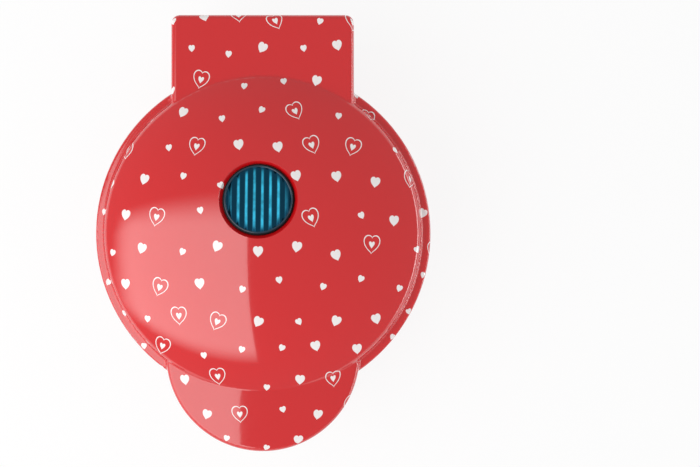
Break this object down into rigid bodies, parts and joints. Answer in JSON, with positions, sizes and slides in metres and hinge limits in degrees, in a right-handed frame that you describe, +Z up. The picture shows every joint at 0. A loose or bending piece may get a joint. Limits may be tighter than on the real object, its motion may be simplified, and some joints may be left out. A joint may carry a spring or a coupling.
{
  "type": "waffle maker",
  "caption": "Small round hinged waffle maker with a domed lid, front handle, rear hinge block, fluted indicator lens and heart-shaped baking plates.",
  "frame": {"origin": "on the surface it stands on, under the centre of the round rim, midway between handle tip and block back", "axes": "+Z up; +Y from the front handle to the hinge block; +X to the right seen from the front handle"},
  "size_m": [0.125, 0.162, 0.071],
  "materials": {
    "red_gloss": "glossy moulded plastic, printed on the lid",
    "red_base": "plain glossy moulded plastic",
    "black_plastic": "satin moulded plastic",
    "lens_blue": "tinted clear fluted plastic",
    "lamp_glass": "clear glass",
    "nonstick": "non-stick coated cast aluminium",
    "element_steel": "heat-tinted steel tube",
    "pressed_steel": "aluminised pressed steel",
    "steel": "zinc-plated steel",
    "cream_plastic": "moulded phenolic",
    "lead_sleeve": "heat-proof sleeve",
    "rubber": "moulded rubber"
  },
  "bodies": {
    "base": {"base_shell": "red_base", "base_cover": "black_plastic", "base_cover_screws": "steel", "lower_plate": "nonstick", "lower_element": "element_steel", "lower_reflector": "pressed_steel", "lower_plate_screws": "steel", "thermostat": "cream_plastic", "thermostat_clip": "pressed_steel", "terminal_block": "cream_plastic", "base_leads": "lead_sleeve", "cord_gland": "rubber", "foot_front_left": "rubber", "foot_front_right": "rubber", "foot_rear_left": "rubber", "foot_rear_right": "rubber"},
    "lid": {"lid_cover": "red_gloss", "lid_frame": "red_base", "lid_frame_screws": "steel", "indicator_bezel": "black_plastic", "indicator_lens": "lens_blue", "lamp_holder": "black_plastic", "indicator_lamp": "lamp_glass", "upper_plate": "nonstick", "upper_element": "element_steel", "upper_reflector": "pressed_steel", "upper_plate_screws": "steel", "thermal_fuse": "steel", "lid_leads": "lead_sleeve", "hinge_pin": "steel", "hinge_bush": "steel"}
  },
  "joints": [
    {"name": "lid_hinge", "type": "hinge", "parent": "base", "child": "lid", "pos_m": [0, 0.074, 0.036], "axis": [-1, 0, 0], "range_deg": [0, 100]}
  ]
}
